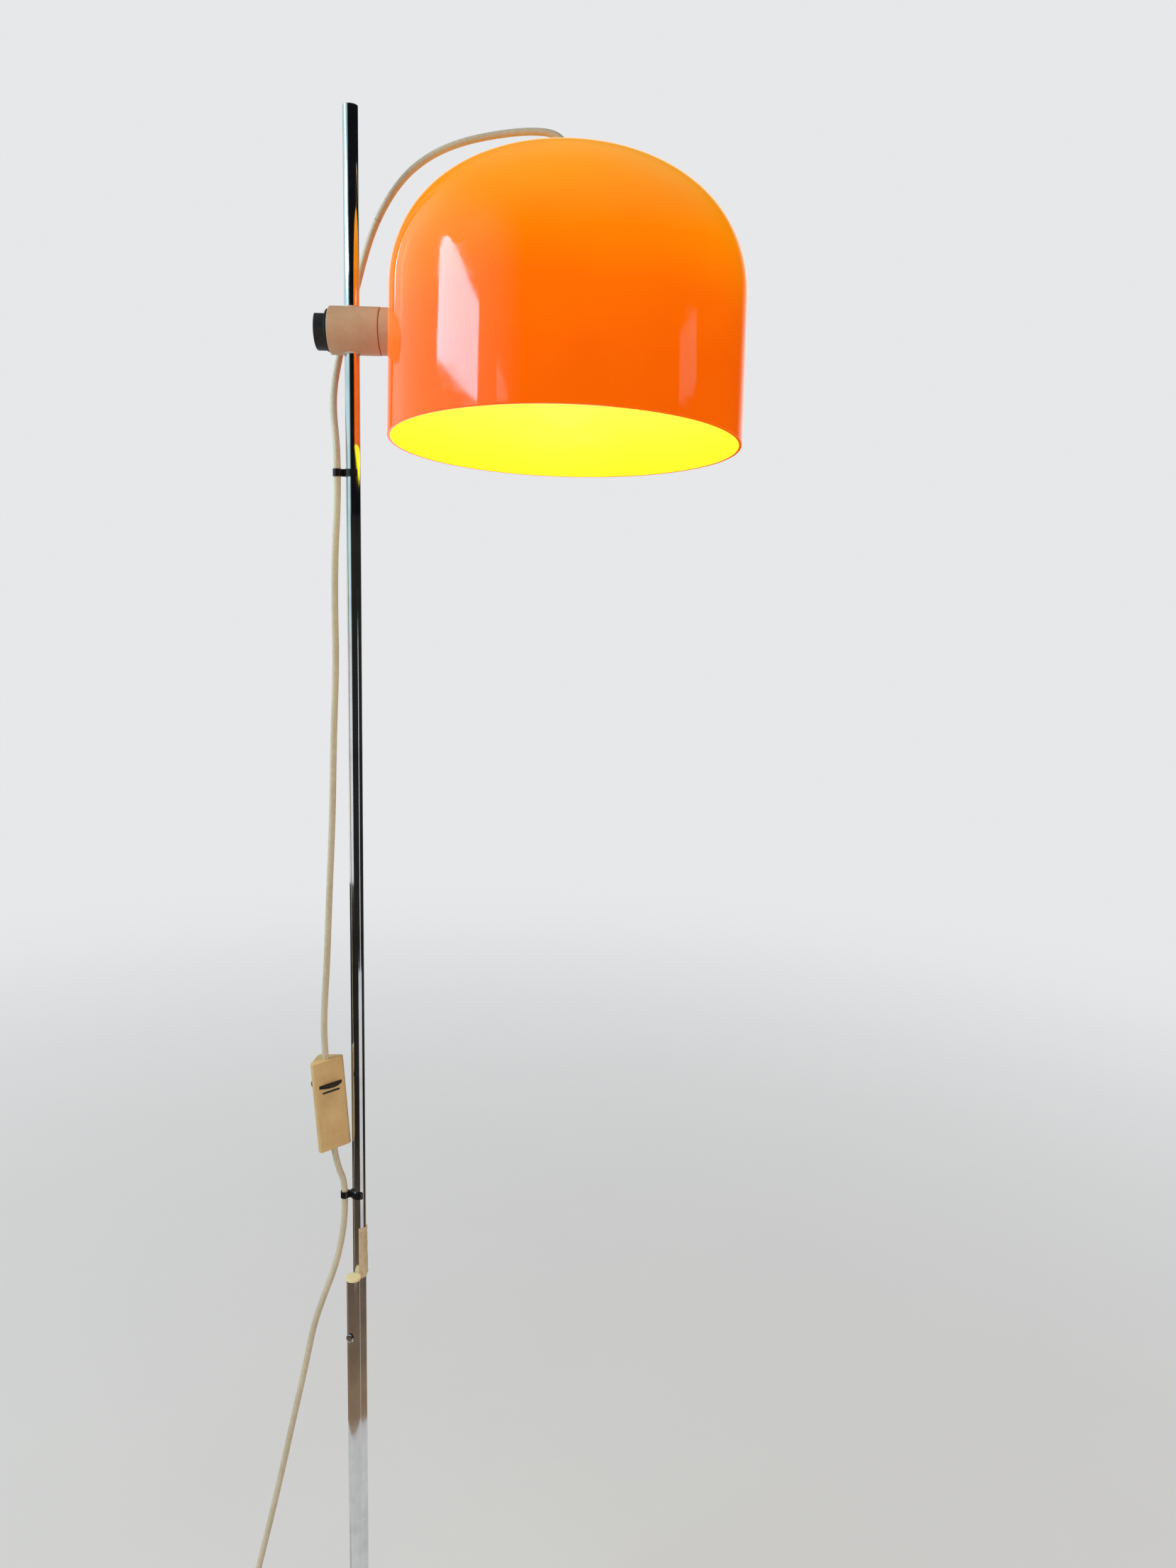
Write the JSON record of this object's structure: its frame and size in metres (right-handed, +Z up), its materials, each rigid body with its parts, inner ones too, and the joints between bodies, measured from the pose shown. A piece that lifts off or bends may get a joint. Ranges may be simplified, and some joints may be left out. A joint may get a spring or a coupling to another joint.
{
  "type": "floor lamp",
  "caption": "Floor lamp with a domed acrylic shade that slides, turns and tilts on a slim chrome pole, with a round weighted base, an in-line dimmer and a coiled cord",
  "frame": {"origin": "on the floor, on the axis of the main pole", "axes": "+Z up along the main pole, +X from the pole toward the shade, -Y toward the front, where the picture was taken"},
  "size_m": [0.6421, 0.3159, 1.6],
  "materials": {
    "chrome": "polished chrome plating",
    "cast_iron": "bare casting",
    "black_rubber": "matt sheet",
    "zinc_steel": "zinc plated",
    "brass": "turned",
    "cream_plastic": "satin, slightly yellowed",
    "cream_cord": "smooth PVC sheath",
    "black_knob": "fine grained",
    "black_clip": "glossy",
    "nylon": "natural nylon",
    "orange_acrylic": "glossy, translucent",
    "holder_plastic": "moulded",
    "ceramic": "unglazed",
    "opal_glass": "opal",
    "nickel": "nickel plated",
    "paper": "aged paper",
    "board_green": "circuit board",
    "brown_phenolic": "moulded"
  },
  "bodies": {
    "stand": {"base_cover": "chrome", "base_weight": "cast_iron", "base_pad": "black_rubber", "stub_rod": "chrome", "stub_stud": "zinc_steel", "stub_washer": "zinc_steel", "stub_nut": "zinc_steel", "stub_cap": "cream_plastic", "pole": "chrome", "pole_cap": "chrome", "joint_inserts": "brass", "joint_screws": "chrome", "paper_label": "paper", "cable_clip_lower": "black_clip", "cord_middle": "cream_cord", "cord_feed": "cream_cord", "cord_coil": "cream_cord", "cord_tail": "cream_cord", "dimmer_housing": "cream_plastic", "dimmer_face": "cream_plastic", "dimmer_regulator": "brown_phenolic", "dimmer_board": "board_green", "dimmer_cord_clamps": "holder_plastic", "plug_relief": "cream_plastic", "plug_body": "cream_plastic", "plug_pins": "nickel"},
    "upper_clip": {"cable_clip_upper": "black_clip"},
    "clamp": {"clamp_sleeve": "nylon", "clamp_body": "cream_plastic", "clamp_bush": "brass", "pressure_pad": "brass", "arm_insert": "brass", "arm_bolt": "zinc_steel", "spring_washer": "zinc_steel", "cord_drape": "cream_cord"},
    "knob": {"clamp_knob": "black_knob", "knob_stud": "zinc_steel"},
    "shade_head": {"shade": "orange_acrylic", "swivel_collar": "cream_plastic", "swivel_washer": "nylon", "inner_saddle": "nylon", "threaded_nipple": "zinc_steel", "cord_grip_nut": "cream_plastic", "inner_washer": "zinc_steel", "lock_nut": "zinc_steel", "holder_cap": "holder_plastic", "holder_body": "holder_plastic", "ceramic_insert": "ceramic", "centre_contact": "brass", "threaded_shell": "brass", "bulb_cap": "nickel", "bulb_glass": "opal_glass", "cord_head": "cream_cord"},
    "dimmer_thumb_wheel": {"dimmer_wheel": "black_knob"}
  },
  "joints": [
    {"name": "head_swivel", "type": "hinge", "parent": "stand", "child": "upper_clip", "pos_m": [0, 0, 1.2995], "axis": [0, 0, 1], "range_deg": [-170, 170], "deforming": ["cord_middle"]},
    {"name": "head_slide", "type": "slide", "parent": "upper_clip", "child": "clamp", "axis": [0, 0, 1], "range_m": [-0.06, 0.15], "deforming": ["cord_drape"]},
    {"name": "knob_turn", "type": "hinge", "parent": "clamp", "child": "knob", "pos_m": [-0.025, 0, 1.4194], "axis": [1, 0, 0], "range_deg": [0, 540]},
    {"name": "shade_tilt", "type": "hinge", "parent": "clamp", "child": "shade_head", "pos_m": [0.03, 0, 1.4194], "axis": [1, 0, 0], "range_deg": [-55, 65], "deforming": ["cord_head"]},
    {"name": "dimmer_wheel_turn", "type": "hinge", "parent": "stand", "child": "dimmer_thumb_wheel", "pos_m": [-0.02885, -0.00804, 0.7302], "axis": [-0.0734, -0.0153, 0.9972], "range_deg": [-135, 135]}
  ]
}
